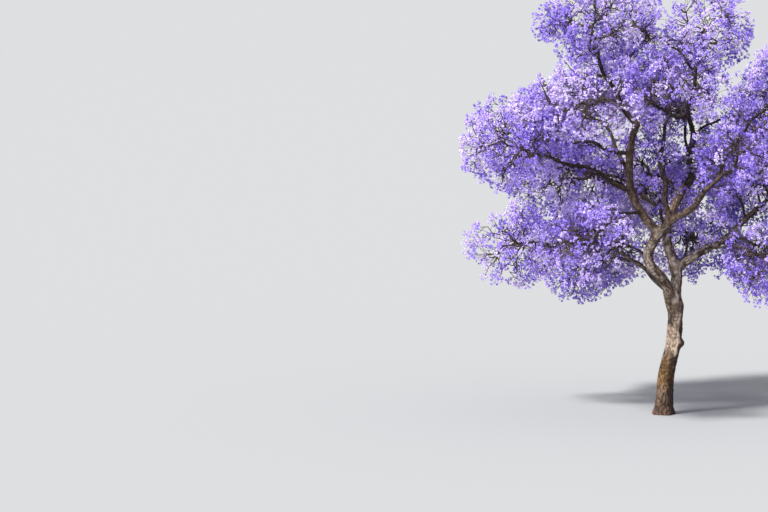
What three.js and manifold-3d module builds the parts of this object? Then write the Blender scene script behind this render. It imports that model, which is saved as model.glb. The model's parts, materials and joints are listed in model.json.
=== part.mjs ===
// A mature jacaranda tree in full bloom: a leaning trunk that forks low into two stems, sinuous
// rising limbs, and a crown of many separate masses of blossom with gaps between them.
// Millimetres, +Z up. The origin is the middle of the flat cut at ground level, +X runs to the
// right and +Y away from the side that the tree is mostly seen from.

import * as THREE from "three";
import { mergeVertices } from "three/addons/utils/BufferGeometryUtils.js";
import Module from "manifold-3d";

const wasm = await Module();
wasm.setup();

// Driving dimensions. Places and lengths in the tables are metres, and M turns them into millimetres.
const M = 1000;
const JOINT_GAP = 0.3;
const LIMB_SINK = 30;

const TRUNK = {
  tip: [0.34, 0, 3.11],
  bow: [0.005, 0.03, 0],
  wave: 0.06,
  turns: 1,
  root: 0.24,
  end: 0.19,
  waist: 2.2,
  sides: 20,
  steps: 10,
  lowRings: 1.35,
};
const FLARE = { reach: 0.12, height: 0.22, lobes: 5, depth: 0.4, phase: 3.2 };

// Each limb leaves its parent at a share of the parent's length and reaches its tip with one bow,
// the sideways swing at half its length, and a wave of a few turns. Radii run from root to end.
// A limb that carries blossom ends where it enters its mass.
const LIMBS = {
  right_stem: {
    from: "trunk", at: 1, tip: [0.33, 0.15, 4.29], bow: [0, 0, 0],
    wave: 0.03, turns: 1, root: 0.172, end: 0.155,
  },
  left_stem: {
    from: "trunk", at: 0.93, tip: [-0.27, -0.75, 5.29], bow: [-0.34, 0, 0.1],
    wave: -0.22, turns: 1, root: 0.15, end: 0.14,
  },
  right_bough: {
    from: "right_stem", at: 0.93, tip: [3.0, 0.5, 6.15], bow: [0.08, 0, -0.1],
    wave: 0.06, turns: 1.5, root: 0.13, end: 0.06, carries: true,
  },
  back_limb_lower: {
    from: "right_stem", at: 1, tip: [0.84, 0.7, 6.74], bow: [-0.42, 0.1, 0],
    wave: 0.04, turns: 1, root: 0.14, end: 0.105,
  },
  back_limb_upper: {
    from: "back_limb_lower", at: 1, tip: [0.92, 0.55, 10.0], bow: [-0.1, 0.1, 0],
    wave: 0.1, turns: 2, root: 0.095, end: 0.045, carries: true,
  },
  back_limb_branch: {
    from: "back_limb_upper", at: 0.57, tip: [-0.35, 1.6, 8.95], bow: [0.1, 0, -0.2],
    wave: 0.05, turns: 1, root: 0.06, end: 0.035, carries: true,
  },
  left_limb_lower: {
    from: "left_stem", at: 1, tip: [-0.93, -0.95, 8.35], bow: [-0.5, 0, -0.05],
    wave: 0.06, turns: 1, root: 0.126, end: 0.092,
  },
  left_limb_upper: {
    from: "left_limb_lower", at: 1, tip: [-2.0, -0.7, 10.25], bow: [-0.12, 0, 0],
    wave: 0.06, turns: 1.5, root: 0.083, end: 0.045, carries: true,
  },
  left_limb_high_branch: {
    from: "left_limb_lower", at: 0.74, tip: [-3.3, 0.1, 7.93], bow: [0, -0.2, 0.03],
    wave: 0.09, turns: 1.5, root: 0.06, end: 0.035, carries: true,
  },
  left_limb_mid_branch: {
    from: "left_limb_lower", at: 0.4, tip: [-3.55, -1.7, 7.5], bow: [0.1, 0, 0.06],
    wave: 0.09, turns: 1.5, root: 0.075, end: 0.04, carries: true,
  },
  left_limb_low_branch: {
    from: "left_limb_lower", at: 0.2, tip: [-1.75, -1.9, 5.62], bow: [0, 0, 0.14],
    wave: 0.04, turns: 1, root: 0.05, end: 0.032, carries: true,
  },
  front_limb: {
    from: "left_stem", at: 1, tip: [1.35, -2.0, 6.95], bow: [0.02, 0, -0.06],
    wave: 0.07, turns: 1.5, root: 0.12, end: 0.05, carries: true,
  },
  middle_limb: {
    from: "front_limb", at: 0.22, tip: [-0.1, -0.75, 8.35], bow: [-0.16, 0.1, 0],
    wave: 0.07, turns: 2, root: 0.085, end: 0.045, carries: true,
  },
};
const LIMB_MESH = { thick: 0.1, thickSides: 8, thinSides: 7, boughSides: 6, step: 0.42, fewest: 5, most: 9 };
const WAVE_DEPTH = { share: 0.6, rate: 0.8, phase: 1.9 };

// The other masses stand in tiers round the crown's own axis, the last two inside the others. A
// place that a limb above already fills, or that would close the open front, is left out.
const CROWN = { axis: [-0.25, 0.25], squeeze: 0.95, ripples: 3, spacing: 1.7 };
const TIERS = [
  { height: 4.9, reach: 3.9, count: 7, turn: 0.28, ripple: 0.35 },
  { height: 6.9, reach: 4.3, count: 8, turn: 0, ripple: 0.35 },
  { height: 9.2, reach: 3.7, count: 7, turn: 0.5, ripple: 0.35 },
  { height: 11.6, reach: 0.75, count: 1, turn: 0.36, ripple: 0.35 },
  { height: 7.2, reach: 2.1, count: 4, turn: 0, ripple: 0 },
  { height: 5.2, reach: 1.7, count: 1, turn: 0.4, ripple: 0 },
];
const OPEN_FRONT = new THREE.Box3(new THREE.Vector3(-1.7, -9, 3.2), new THREE.Vector3(1.6, -1.2, 9.9));

// A bough's root radius follows its length, and its bow lifts it or swings it clear of the others.
const BOUGH = {
  slender: 0.017,
  least: 0.032,
  most: 0.07,
  end: 0.033,
  wave: 0.022,
  turns: 1.5,
  bows: [0.1, 0.15, 0.2],
  rolls: [0, 0.5, -0.5, 1, -1, 1.5, -1.5, 2],
  clearance: 0.04,
  fork: 0.45,
  slighter: 0.75,
};
// What makes a place on a limb a costly one for a bough to spring from.
const SPRING = {
  first: 0.2,
  last: 0.97,
  step: 0.06,
  rise: 0.35,
  steep: 1.6,
  near: 0.5,
  crowd: 0.7,
  main: 0.04,
};

const MASS = {
  across: 1.7,
  tall: 1.3,
  offset: 1.05,
  gap: 0.02,
  twigs: 6,
  tries: 80,
  inner: 0.42,
  outer: 0.36,
};
const TWIG = { root: 0.026, end: 0.021, depth: 0.2, steep: 0.35, joint: 0.5, clearance: 0.01 };
const STEM = { fill: 0.95, joints: [0.25, 0.43, 0.61, 0.79, 0.95] };
const LEAF = {
  length: 0.95,
  width: 0.58,
  thick: 0.034,
  widest: 0.4,
  sink: 0.016,
  lean: 0.95,
  places: [0.6],
  endSizes: [1, 0.75, 0.55, 0.4],
  apart: 0.42,
  heart: 0.45,
  clearance: 0.02,
};

const BARK = new THREE.MeshStandardMaterial({ color: 0x6a5646, roughness: 0.9, metalness: 0 });
const BLOSSOM = new THREE.MeshStandardMaterial({ color: 0x8f82cf, roughness: 0.7, metalness: 0 });

const UP = new THREE.Vector3(0, 0, 1);
const SIGHT = new THREE.Vector3(0, 1, 0);
const metres = ([x, y, z]) => new THREE.Vector3(x, y, z).multiplyScalar(M);
const numbered = (word, index) => `${word}_${String(index + 1).padStart(2, "0")}`;

// An even, seeded spread of numbers from 0 to 1 in three rows, from the root of x⁴ = x + 1.
const SPREAD_ROOT = 1.22074408460576;
const spread = (k, row) => (0.5 + (k + 1) * SPREAD_ROOT ** -(row + 1)) % 1;

// A limb's path: straight from root to tip, with its bow and two crossed waves that fade at both ends.
class LimbCurve extends THREE.Curve {
  constructor(root, tip, bow, wave, turns) {
    super();
    this.root = root;
    this.chord = tip.clone().sub(root);
    this.bow = bow;
    this.wave = wave;
    this.turns = turns;
    this.side = this.chord.clone().cross(SIGHT).normalize();
    this.depth = this.chord.clone().cross(this.side).normalize();
  }

  getPoint(t, point = new THREE.Vector3()) {
    const swing = this.wave * Math.sin(Math.PI * t);
    const angle = 2 * Math.PI * this.turns * t;
    const deep = WAVE_DEPTH.share * Math.sin(WAVE_DEPTH.rate * angle + WAVE_DEPTH.phase);
    return point
      .copy(this.root)
      .addScaledVector(this.chord, t)
      .addScaledVector(this.bow, 4 * t * (1 - t))
      .addScaledVector(this.side, swing * Math.sin(angle))
      .addScaledVector(this.depth, swing * deep);
  }
}

// A closed tapering tube: a cylinder with its rows of vertices laid along the curve. A grown copy
// stands out by the same amount on every side and at both ends.
function tube(curve, rootRadius, endRadius, sides, steps, grown = 0) {
  const geometry = new THREE.CylinderGeometry(1, 1, 1, sides, steps);
  const position = geometry.getAttribute("position");
  const frames = curve.computeFrenetFrames(steps, false);
  const row = new THREE.Vector3();
  for (let i = 0; i < position.count; i++) {
    const t = position.getY(i) + 0.5;
    const step = Math.round(t * steps);
    const radius = rootRadius + (endRadius - rootRadius) * t + grown;
    const beyond = grown * ((step === steps) - (step === 0));
    row
      .copy(curve.getPointAt(t))
      .addScaledVector(frames.tangents[step], beyond)
      .addScaledVector(frames.normals[step], position.getZ(i) * radius)
      .addScaledVector(frames.binormals[step], position.getX(i) * radius);
    position.setXYZ(i, row.x, row.y, row.z);
  }
  return solidOf(geometry);
}

// A closed geometry as a solid, turned so that its faces point out.
function solidOf(geometry) {
  const bare = geometry.clone();
  bare.deleteAttribute("normal");
  bare.deleteAttribute("uv");
  const merged = mergeVertices(bare, 1e-3);
  const triVerts = new Uint32Array(merged.index.array);
  const vertProperties = merged.getAttribute("position").array;
  const made = new wasm.Manifold(new wasm.Mesh({ numProp: 3, vertProperties, triVerts }));
  if (made.volume() > 0) return made;
  for (let i = 0; i < triVerts.length; i += 3) {
    [triVerts[i + 1], triVerts[i + 2]] = [triVerts[i + 2], triVerts[i + 1]];
  }
  return new wasm.Manifold(new wasm.Mesh({ numProp: 3, vertProperties, triVerts }));
}

// The largest body of a solid, which drops loose scraps and fills sealed hollows.
function largest(solid) {
  return solid.decompose().reduce((a, b) => (b.volume() > a.volume() ? b : a));
}

function meshOf(name, solid, material) {
  const { vertProperties, triVerts } = solid.getMesh();
  const geometry = new THREE.BufferGeometry();
  geometry.setAttribute("position", new THREE.BufferAttribute(vertProperties, 3));
  geometry.setIndex(new THREE.BufferAttribute(triVerts, 1));
  geometry.computeVertexNormals();
  const mesh = new THREE.Mesh(geometry, material);
  mesh.name = name;
  return mesh;
}

// The trunk's rings lie level, so its foot is a flat cut, and lobes of root flare fade upwards.
function makeTrunk() {
  const { sides, steps, root, end, waist, bow, wave, turns, tip, lowRings } = TRUNK;
  const curve = new LimbCurve(new THREE.Vector3(), metres(tip), metres(bow), wave * M, turns);
  const solid = (grown) => {
    const geometry = new THREE.CylinderGeometry(1, 1, 1, sides, steps);
    const position = geometry.getAttribute("position");
    for (let i = 0; i < position.count; i++) {
      const t = (position.getY(i) + 0.5) ** lowRings;
      const [x, y] = [position.getZ(i), position.getX(i)];
      const lobe = 1 - FLARE.depth * (0.5 + 0.5 * Math.cos(FLARE.lobes * Math.atan2(y, x) + FLARE.phase));
      const flare = FLARE.reach * lobe * Math.exp((-t * tip[2]) / FLARE.height);
      const radius = (root + (end - root) * t ** waist + flare) * M + grown;
      const middle = curve.getPoint(t);
      const top = t === 1 ? grown : 0;
      position.setXYZ(i, middle.x + x * radius, middle.y + y * radius, middle.z + top);
    }
    return solidOf(geometry);
  };
  return { name: "trunk", curve, root: root * M, end: end * M, solid: solid(0), grown: solid(JOINT_GAP) };
}

// A limb starts sunk in its parent, and is later cut back to a hair's gap from what is there already.
function makeLimb({ name, parent, at, tip, bow, wave, turns, root, end, sides, carries }) {
  const start = parent.curve.getPoint(at);
  const back = tip.clone().sub(start).normalize().multiplyScalar(at === 1 ? -LIMB_SINK : 0);
  const curve = new LimbCurve(start.add(back), tip, bow, wave, turns);
  const steps = Math.round(curve.getLength() / (LIMB_MESH.step * M));
  const rows = Math.max(LIMB_MESH.fewest, Math.min(LIMB_MESH.most, steps));
  const solid = tube(curve, root, end, sides, rows);
  const grown = tube(curve, root, end, sides, rows, JOINT_GAP);
  const limb = { name, parent, at, curve, root, end, solid, grown, carries: Boolean(carries) };
  if (carries) limb.stem = { curve: new THREE.LineCurve3(tip, massMiddle(limb)), root: end, end };
  return limb;
}

const radiusAlong = (limb, t) => limb.root + (limb.end - limb.root) * t;

// The shortest distance from a straight stretch to a limb's surface, over points along both.
function clearOf(limb, from, to) {
  const samples = 14;
  const probes = 6;
  const line = new THREE.Line3();
  const near = new THREE.Vector3();
  let least = Infinity;
  for (let i = 0; i < samples; i++) {
    const radius = radiusAlong(limb, (i + 0.5) / samples);
    line.set(limb.curve.getPoint(i / samples), limb.curve.getPoint((i + 1) / samples));
    for (let j = 0; j <= probes; j++) {
      const probe = from.clone().lerp(to, j / probes);
      line.closestPointToPoint(probe, true, near);
      least = Math.min(least, near.distanceTo(probe) - radius);
    }
  }
  return least;
}

const limbs = [makeTrunk()];

function addMainLimbs() {
  for (const [name, { from, at, tip, bow, wave, turns, root, end, carries }] of Object.entries(LIMBS)) {
    limbs.push(makeLimb({
      name,
      parent: limbs.find((limb) => limb.name === from),
      at,
      tip: metres(tip),
      bow: metres(bow),
      wave: wave * M,
      turns,
      root: root * M,
      end: end * M,
      sides: root > LIMB_MESH.thick ? LIMB_MESH.thickSides : LIMB_MESH.thinSides,
      carries,
    }));
  }
}

// The middle of the mass that a limb's tip carries.
function massMiddle(limb) {
  return limb.curve.getPoint(1).addScaledVector(limb.curve.getTangent(1), MASS.offset * M);
}

// The places in the tiers that still need a mass.
function tierPlaces(taken) {
  const places = [];
  for (const { height, reach, count, turn, ripple } of TIERS) {
    for (let i = 0; i < count; i++) {
      const angle = 2 * Math.PI * ((i + turn) / count);
      const place = metres([
        CROWN.axis[0] + reach * Math.cos(angle),
        CROWN.axis[1] + reach * CROWN.squeeze * Math.sin(angle),
        height + ripple * Math.sin(CROWN.ripples * angle + height),
      ]);
      const near = [...taken, ...places].some((other) => other.distanceTo(place) < CROWN.spacing * M);
      const open = OPEN_FRONT.containsPoint(place.clone().divideScalar(M));
      if (!near && !open) places.push(place);
    }
  }
  return places;
}

// The nearest stretch of main limb to a place that lies well below it and is not crowded.
function springFor(place) {
  let best = { cost: Infinity };
  for (const limb of limbs.filter(({ main }) => main)) {
    for (let t = SPRING.first; t < SPRING.last; t += SPRING.step) {
      const run = place.clone().sub(limb.curve.getPoint(t));
      const apart = limb.springs.map((other) => Math.abs(other - t) * limb.curve.getLength());
      const crowd = apart.filter((length) => length < SPRING.near * M).length;
      const steep = Math.max(0, SPRING.rise * Math.hypot(run.x, run.y) - run.z);
      const cost = run.length() + SPRING.steep * steep + SPRING.crowd * M * crowd;
      if (cost < best.cost) best = { cost, limb, t, run };
    }
  }
  return best;
}

// A bough to a place takes the first of a few swings that stays clear of every other limb, and
// with none the place stays empty.
function addBough(name, place) {
  const { limb, t, run } = springFor(place);
  const length = run.length() - MASS.offset * M;
  const tip = limb.curve.getPoint(t).addScaledVector(run.clone().normalize(), length);
  const thick = Math.max(BOUGH.slender * length, BOUGH.least * M);
  const root = Math.min(thick, BOUGH.most * M, BOUGH.slighter * radiusAlong(limb, t));
  const across = new THREE.Vector3(run.x, run.y, 0).normalize().cross(UP);
  for (const size of BOUGH.bows) {
    for (const roll of BOUGH.rolls) {
      const bow = UP.clone().multiplyScalar(Math.cos(roll)).addScaledVector(across, Math.sin(roll));
      const bough = makeLimb({
        name,
        parent: limb,
        at: t,
        tip,
        bow: bow.multiplyScalar(size * length),
        wave: BOUGH.wave * length,
        turns: BOUGH.turns,
        root,
        end: BOUGH.end * M,
        sides: LIMB_MESH.boughSides,
        carries: true,
      });
      if (!boughIsClear(bough)) continue;
      limb.springs.push(t);
      limbs.push(bough);
      return;
    }
  }
}

// Near its fork a bough may lie close to its parent and to what else springs from there. It and
// its mass's stem stay clear of all other limbs and stems.
function boughIsClear(bough) {
  const samples = 10;
  const start = bough.curve.getPoint(0);
  const stems = limbs.flatMap(({ stem }) => stem ?? []);
  for (let i = 0; i < samples; i++) {
    const [from, to] = [bough.curve.getPoint(i / samples), bough.curve.getPoint((i + 1) / samples)];
    const needed = radiusAlong(bough, (i + 0.5) / samples) + BOUGH.clearance * M;
    for (const limb of [...limbs, ...stems]) {
      const kin = [bough.parent, bough.parent.parent].includes(limb) || limb.parent === bough.parent;
      if (kin && from.distanceTo(start) < BOUGH.fork * M) continue;
      if (clearOf(limb, from, to) < needed) return false;
    }
  }
  const [tip, middle] = [bough.curve.getPoint(1), bough.stem.curve.getPoint(1)];
  return limbs.every((limb) => clearOf(limb, tip, middle) > bough.end + BOUGH.clearance * M);
}

function addBoughs() {
  for (const limb of limbs) {
    limb.main = limb.name !== "trunk" && limb.end > SPRING.main * M;
    limb.springs = limbs.filter(({ parent }) => parent === limb).map(({ at }) => at);
  }
  const taken = limbs.filter(({ carries }) => carries).map(massMiddle);
  tierPlaces(taken).forEach((place, i) => addBough(numbered("bough", i), place));
}

// Cuts each limb back from those before it, so that they meet with a hair's gap and never overlap.
function seatLimbs() {
  limbs.forEach((limb, i) => {
    for (const earlier of limbs.slice(0, i)) limb.solid = limb.solid.subtract(earlier.grown);
    limb.solid = largest(limb.solid);
  });
}

// A mass's own space: an ellipsoid round its middle, cut off half-way to each neighbour's.
function makeSpace(limb, index, middles) {
  const middle = middles[index];
  const planes = middles
    .filter((other) => other !== middle)
    .map((other) => {
      const normal = other.clone().sub(middle).normalize();
      const halfWay = 0.5 * (other.distanceTo(middle) - MASS.gap * M);
      return { normal, reach: normal.dot(middle) + halfWay };
    });
  const holds = (point) => {
    const [x, y, z] = point.clone().sub(middle).divideScalar(M).toArray();
    const size = Math.hypot(x / MASS.across, y / MASS.across, z / MASS.tall);
    return size <= 1 && planes.every(({ normal, reach }) => normal.dot(point) < reach);
  };
  return { index, limb, middle, holds };
}

// The k-th seeded point of a mass, in the outer part of its ellipsoid.
function massPoint({ index, middle }, k) {
  const seed = index * MASS.tries + k;
  const height = 1 - 2 * spread(seed, 0);
  const angle = 2 * Math.PI * spread(seed, 1);
  const out = (MASS.inner + MASS.outer * Math.sqrt(spread(seed, 2))) * M;
  const flat = Math.sqrt(1 - height * height) * out * MASS.across;
  const point = new THREE.Vector3(flat * Math.cos(angle), flat * Math.sin(angle), height * out * MASS.tall);
  return point.add(middle);
}

// A straight three-sided twig, with the ways that its three faces look.
function makeTwig(from, to, rootRadius) {
  const curve = new THREE.LineCurve3(from, to);
  const { normals, binormals } = curve.computeFrenetFrames(1, false);
  const faces = [1, 3, 5].map((sixth) => {
    const angle = (sixth * Math.PI) / 3;
    return normals[0].clone().multiplyScalar(Math.cos(angle)).addScaledVector(binormals[0], Math.sin(angle));
  });
  return { curve, faces, solid: tube(curve, rootRadius, TWIG.end * M, 3, 1) };
}

// A blade of eight faces that stands for a spray of blossom, its root sunk in its twig and its
// width in the plane of its heading and of a way across it.
function makeLeaf(point, heading, across, size) {
  const { thick, widest, sink } = LEAF;
  const [length, width] = [size * LEAF.length, size * LEAF.width];
  const geometry = new THREE.OctahedronGeometry(1, 0);
  const blade = geometry.getAttribute("position");
  for (let i = 0; i < blade.count; i++) {
    const rise = widest + blade.getY(i) * (blade.getY(i) > 0 ? 1 - widest : widest);
    const row = metres([0.5 * width * blade.getX(i), rise * length - sink, 0.5 * thick * blade.getZ(i)]);
    blade.setXYZ(i, row.x, row.y, row.z);
  }
  const flat = heading.clone().cross(across).normalize();
  const basis = new THREE.Matrix4().makeBasis(heading.clone().cross(flat), heading, flat);
  geometry.applyMatrix4(basis.setPosition(point));
  const indices = [...Array(blade.count).keys()];
  const corners = indices.map((i) => new THREE.Vector3().fromBufferAttribute(blade, i));
  const end = point.clone().addScaledVector(heading, (length - sink) * M);
  return { solid: solidOf(geometry), corners, end, heart: point.clone().lerp(end, LEAF.heart) };
}

// The joint that a twig to a tip grows from: near, along the way it heads, and early on its branch.
function bestJoint(joints, tip) {
  const cost = ({ point, heading, depth }) => {
    const run = tip.clone().sub(point);
    const turn = 1 - run.clone().normalize().dot(heading);
    return run.length() * (1 + TWIG.steep * turn) + TWIG.depth * M * depth;
  };
  return joints.reduce((a, b) => (cost(b) < cost(a) ? b : a));
}

// Grows one mass: a stem from its limb's tip, twigs that each take one joint, and leaves.
function growMass(space) {
  const { limb, middle, holds } = space;
  const foot = limb.curve.getPoint(1).addScaledVector(limb.curve.getTangent(1), JOINT_GAP);
  const stem = makeTwig(foot, middle.clone(), STEM.fill * limb.end);
  const heading = stem.curve.getTangent(1);
  const joints = STEM.joints.map((t) => ({ point: stem.curve.getPoint(t), heading, depth: t }));
  const twigs = [stem];
  for (let k = 0; k < MASS.tries && twigs.length <= MASS.twigs; k++) {
    const tip = massPoint(space, k);
    if (!holds(tip)) continue;
    const joint = bestJoint(joints, tip);
    const twig = makeTwig(joint.point, tip, TWIG.root * M);
    const near = (TWIG.root + TWIG.clearance) * M;
    const clear = limbs.every((other) => clearOf(other, joint.point, tip) > near);
    if (!clear || !holds(twig.curve.getPoint(0.5))) continue;
    const next = {
      point: twig.curve.getPoint(TWIG.joint),
      heading: twig.curve.getTangent(1),
      depth: joint.depth + 1,
    };
    joints.splice(joints.indexOf(joint), 1, next);
    twigs.push(twig);
  }
  const leaves = [];
  twigs.forEach((twig, order) => addLeaves(twig, order, space, leaves));
  return largest(wasm.Manifold.union([...twigs, ...leaves].map(({ solid }) => solid)));
}

// One leaf ends each twig, at the largest size that has room, and others stand on its faces in
// turn. One that would leave the mass's own space, cross another or come near a limb is skipped.
function addLeaves({ curve, faces }, order, space, leaves) {
  const ahead = curve.getTangent(1);
  const [tip, across] = [curve.getPoint(1), faces[order % faces.length]];
  const wanted = [{ point: tip, heading: ahead, across, sizes: LEAF.endSizes }];
  LEAF.places.forEach((t, i) => {
    const face = faces[(order + i) % faces.length];
    const heading = ahead.clone().multiplyScalar(Math.cos(LEAF.lean));
    heading.addScaledVector(face, Math.sin(LEAF.lean));
    wanted.push({ point: curve.getPoint(t), heading, across: ahead, sizes: [1] });
  });
  for (const { point, heading, across, sizes } of wanted) {
    const tried = sizes.map((size) => makeLeaf(point, heading, across, size));
    const leaf = tried.find(({ corners }) => corners.every((corner) => space.holds(corner)));
    const apart = leaf && leaves.every(({ heart }) => heart.distanceTo(leaf.heart) > LEAF.apart * M);
    if (!apart) continue;
    const near = (0.5 * LEAF.width + LEAF.clearance) * M;
    if (limbs.every((limb) => clearOf(limb, point, leaf.end) > near)) leaves.push(leaf);
  }
}

addMainLimbs();
addBoughs();
seatLimbs();

const tree = new THREE.Group();
for (const limb of limbs) tree.add(meshOf(limb.name, limb.solid, BARK));

const bearers = limbs.filter(({ carries }) => carries);
const middles = bearers.map(massMiddle);
bearers.forEach((limb, i) => {
  tree.add(meshOf(numbered("blossom", i), growMass(makeSpace(limb, i, middles)), BLOSSOM));
});

export default tree;
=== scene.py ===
# A jacaranda tree in full bloom. The limbs grow by the same named sizes and rules as the part's source,
# one bark mesh with smooth forks and relief covers trunk, limbs and boughs, and each mass of blossom
# becomes a stem with three orders of sinuous twigs that end in panicles of trumpet flowers.
# Metres, +Z up, origin in the middle of the flat cut at ground level.

import json
import math
from types import SimpleNamespace as Values

import bmesh
import bpy
import numpy as np
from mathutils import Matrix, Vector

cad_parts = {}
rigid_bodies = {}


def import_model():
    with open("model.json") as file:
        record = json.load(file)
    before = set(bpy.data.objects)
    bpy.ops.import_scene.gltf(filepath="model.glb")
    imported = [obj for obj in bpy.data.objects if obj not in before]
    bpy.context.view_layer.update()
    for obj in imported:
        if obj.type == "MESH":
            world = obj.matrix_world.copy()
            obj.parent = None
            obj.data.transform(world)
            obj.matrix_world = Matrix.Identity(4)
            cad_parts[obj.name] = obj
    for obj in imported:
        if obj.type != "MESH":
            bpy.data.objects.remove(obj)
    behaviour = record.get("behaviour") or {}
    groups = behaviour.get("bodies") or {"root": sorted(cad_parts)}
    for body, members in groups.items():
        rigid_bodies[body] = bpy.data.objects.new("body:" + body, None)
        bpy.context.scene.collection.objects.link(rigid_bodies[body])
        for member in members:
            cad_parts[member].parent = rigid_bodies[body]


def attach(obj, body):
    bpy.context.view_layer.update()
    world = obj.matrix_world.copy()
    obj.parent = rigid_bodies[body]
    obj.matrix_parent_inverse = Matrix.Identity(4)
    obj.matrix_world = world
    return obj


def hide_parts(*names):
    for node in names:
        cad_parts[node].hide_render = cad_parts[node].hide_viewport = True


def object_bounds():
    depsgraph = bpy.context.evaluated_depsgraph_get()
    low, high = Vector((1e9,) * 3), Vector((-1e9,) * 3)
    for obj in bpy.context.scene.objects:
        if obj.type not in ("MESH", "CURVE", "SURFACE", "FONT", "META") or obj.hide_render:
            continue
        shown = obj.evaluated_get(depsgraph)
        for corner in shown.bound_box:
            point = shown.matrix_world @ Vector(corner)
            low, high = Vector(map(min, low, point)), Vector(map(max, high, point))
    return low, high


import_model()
cad_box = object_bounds()

# The limbs, as in the part's source.
LIMB_SINK = 0.03
TRUNK = Values(
    tip=(0.34, 0, 3.11), bow=(0.005, 0.03, 0), wave=0.06, turns=1,
    root=0.24, end=0.19, waist=2.2,
)
FLARE = Values(reach=0.12, height=0.22, lobes=5, depth=0.4, phase=3.2)
# name: parent, share of its length, tip, bow, wave, turns, root radius, end radius
LIMBS = {
    "right_stem": ("trunk", 1, (0.33, 0.15, 4.29), (0, 0, 0), 0.03, 1, 0.172, 0.155),
    "left_stem": ("trunk", 0.93, (-0.27, -0.75, 5.29), (-0.34, 0, 0.1), -0.22, 1, 0.15, 0.14),
    "right_bough": ("right_stem", 0.93, (3.0, 0.5, 6.15), (0.08, 0, -0.1), 0.06, 1.5, 0.13, 0.06),
    "back_limb_lower": ("right_stem", 1, (0.84, 0.7, 6.74), (-0.42, 0.1, 0), 0.04, 1, 0.14, 0.105),
    "back_limb_upper": ("back_limb_lower", 1, (0.92, 0.55, 10.0), (-0.1, 0.1, 0), 0.1, 2, 0.095, 0.045),
    "back_limb_branch": ("back_limb_upper", 0.57, (-0.35, 1.6, 8.95), (0.1, 0, -0.2), 0.05, 1, 0.06, 0.035),
    "left_limb_lower": ("left_stem", 1, (-0.93, -0.95, 8.35), (-0.5, 0, -0.05), 0.06, 1, 0.126, 0.092),
    "left_limb_upper": ("left_limb_lower", 1, (-2.0, -0.7, 10.25), (-0.12, 0, 0), 0.06, 1.5, 0.083, 0.045),
    "left_limb_high_branch": (
        "left_limb_lower", 0.74, (-3.3, 0.1, 7.93), (0, -0.2, 0.03), 0.09, 1.5, 0.06, 0.035),
    "left_limb_mid_branch": (
        "left_limb_lower", 0.4, (-3.55, -1.7, 7.5), (0.1, 0, 0.06), 0.09, 1.5, 0.075, 0.04),
    "left_limb_low_branch": ("left_limb_lower", 0.2, (-1.75, -1.9, 5.62), (0, 0, 0.14), 0.04, 1, 0.05, 0.032),
    "front_limb": ("left_stem", 1, (1.35, -2.0, 6.95), (0.02, 0, -0.06), 0.07, 1.5, 0.12, 0.05),
    "middle_limb": ("front_limb", 0.22, (-0.1, -0.75, 8.35), (-0.16, 0.1, 0), 0.07, 2, 0.085, 0.045),
}
# A limb whose end radius is at most this carries a mass of blossom.
BEARING_END = 0.06
WAVE_DEPTH = Values(share=0.6, rate=0.8, phase=1.9)
# The steps that measure a limb's length and its gaps to others, and the share that gives its tip's heading.
STEPS = Values(length=200, gaps=14, heading=1e-4)

# The places of the other masses, and the boughs that reach them.
CROWN = Values(axis=(-0.25, 0.25), squeeze=0.95, ripples=3, spacing=1.7)
# height, reach, count, turn, ripple
TIERS = (
    (4.9, 3.9, 7, 0.28, 0.35),
    (6.9, 4.3, 8, 0, 0.35),
    (9.2, 3.7, 7, 0.5, 0.35),
    (11.6, 0.75, 1, 0.36, 0.35),
    (7.2, 2.1, 4, 0, 0),
    (5.2, 1.7, 1, 0.4, 0),
)
OPEN_FRONT = ((-1.7, -9, 3.2), (1.6, -1.2, 9.9))
# A bough's girth for its length, its waves, and the clearance that it keeps, apart from near its fork.
BOUGH = Values(
    slender=0.017, least=0.032, most=0.07, limb_share=0.75, end=0.033,
    wave=0.022, turns=1.5, clearance=0.04, fork=0.45, steps=10, probes=7,
)
BOUGH_BOWS = (0.1, 0.15, 0.2)
BOUGH_ROLLS = (0, 0.5, -0.5, 1, -1, 1.5, -1.5, 2)
# Where boughs may spring from main limbs, what makes a place there a poor one, and a main limb's least end.
SPRING = Values(
    first=0.2, last=0.97, step=0.06, rise=0.35, steep=1.6,
    near=0.5, crowd=0.7, main=0.04,
)

# The space of a mass, and its first twigs.
MASS_SIZE = np.array((1.7, 1.7, 1.3))
MASS = Values(offset=1.05, gap=0.02, twigs=6, tries=80, inner=0.42, outer=0.36, seed_step=997)
TWIG = Values(root=0.026, depth=0.2, steep=0.35, joint=0.5, clearance=0.01, probes=7)
STEM_JOINTS = (0.25, 0.43, 0.61, 0.79, 0.95)

UP = np.array((0.0, 0.0, 1.0))
SIGHT = np.array((0.0, 1.0, 0.0))
CAMERA = Values(place=(-8.04, -74.3, 10.5), pitch=4.574, lens=122, sensor=36, far=5000)
GOLDEN_ANGLE = math.pi * (3 - math.sqrt(5))
# The root above 1 of x**4 = x + 1: its powers spread points evenly in three rows.
SPREAD_ROOT = 1.22074408460576
TINY = 1e-9
# Directions steeper than this take their crossways vectors from the X axis.
STEEP = 0.9


def spread(k, row):
    """An even, seeded spread of numbers from 0 to 1 in three rows."""
    return (0.5 + (k + 1) * SPREAD_ROOT ** -(row + 1)) % 1


def unit(v):
    return v / np.maximum(np.linalg.norm(v, axis=-1, keepdims=True), TINY)


def lengths_of(v):
    return np.linalg.norm(v, axis=-1)


def gathered(rows):
    """Arrays of the same kinds from several places, each kind as one."""
    return [np.concatenate(arrays) for arrays in zip(*rows)]


def between(low, high, share):
    return low + (high - low) * share


def even_angles(count):
    return 2 * np.pi * np.arange(count) / count


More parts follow.
